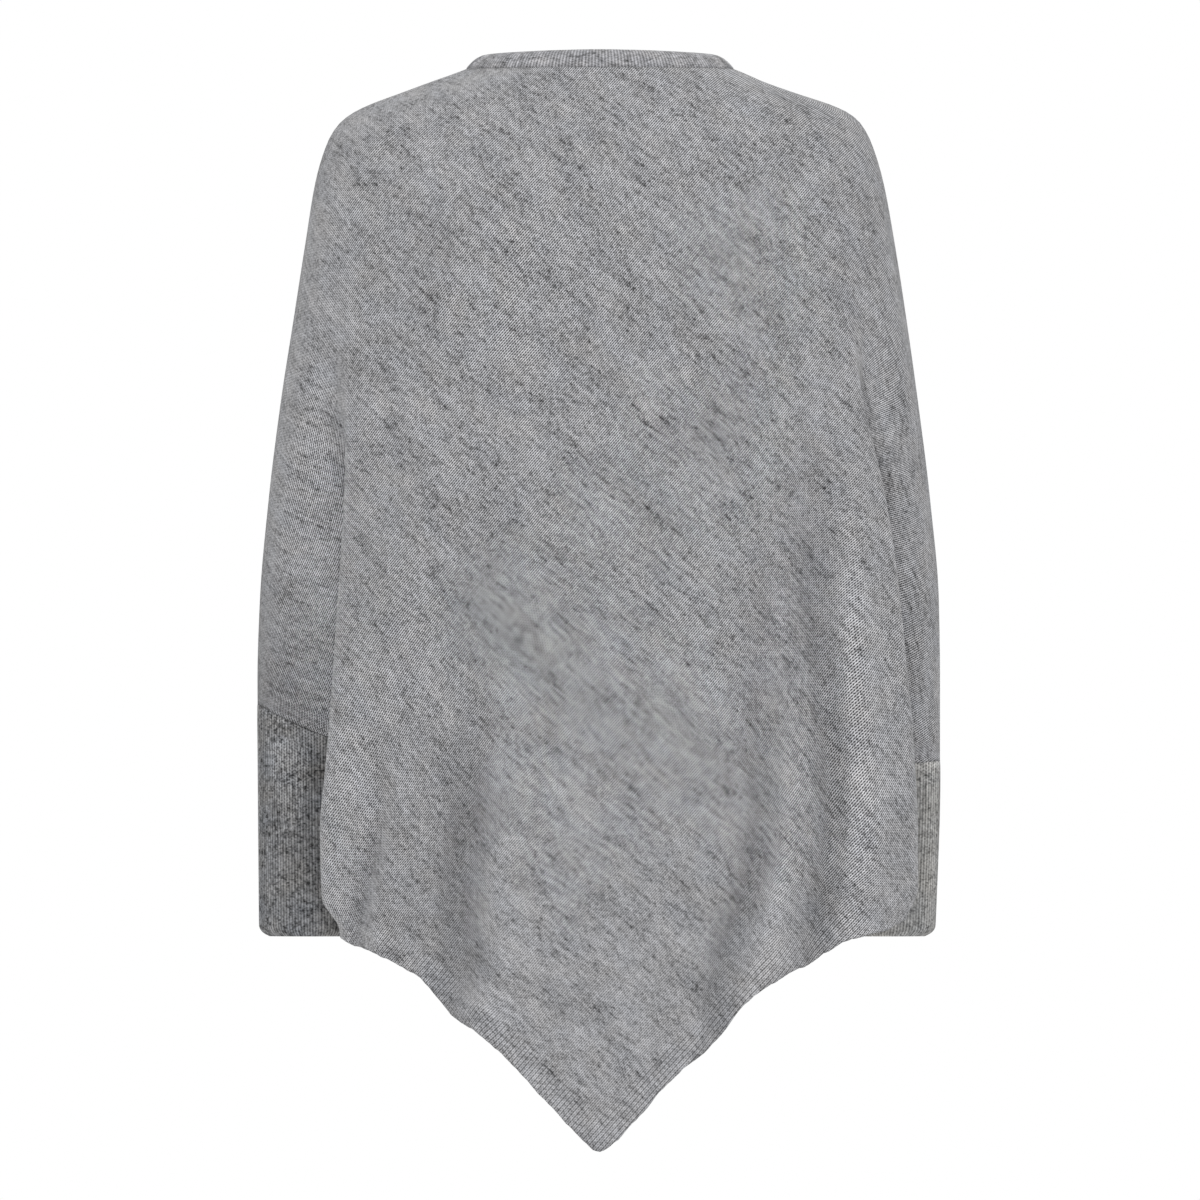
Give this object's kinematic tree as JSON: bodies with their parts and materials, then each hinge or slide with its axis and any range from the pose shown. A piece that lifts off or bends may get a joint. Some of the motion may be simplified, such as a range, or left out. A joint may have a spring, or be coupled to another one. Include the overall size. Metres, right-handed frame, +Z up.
{
  "type": "knitted poncho sweater",
  "caption": "Loose knitted poncho sweater with batwing sleeves, a deep pointed hem, long ribbed cuffs and a ribbed round neckband, hollow and filled out as worn.",
  "frame": {"origin": "centre of the neck's base, where the wearer's neck and shoulders hold the garment", "axes": "+Z up; the garment's back faces -Y and its front +Y; +X is on the right of somebody who looks at the back"},
  "size_m": [0.5493, 0.2587, 0.879],
  "materials": {
    "knit": "matt fine knit, light grey melange wool",
    "rib": "matt ribbed knit of the same wool"
  },
  "bodies": {
    "root": {"back_panel": "knit", "front_panel": "knit", "neckband": "rib", "cuff_left": "rib", "cuff_right": "rib"}
  },
  "joints": []
}
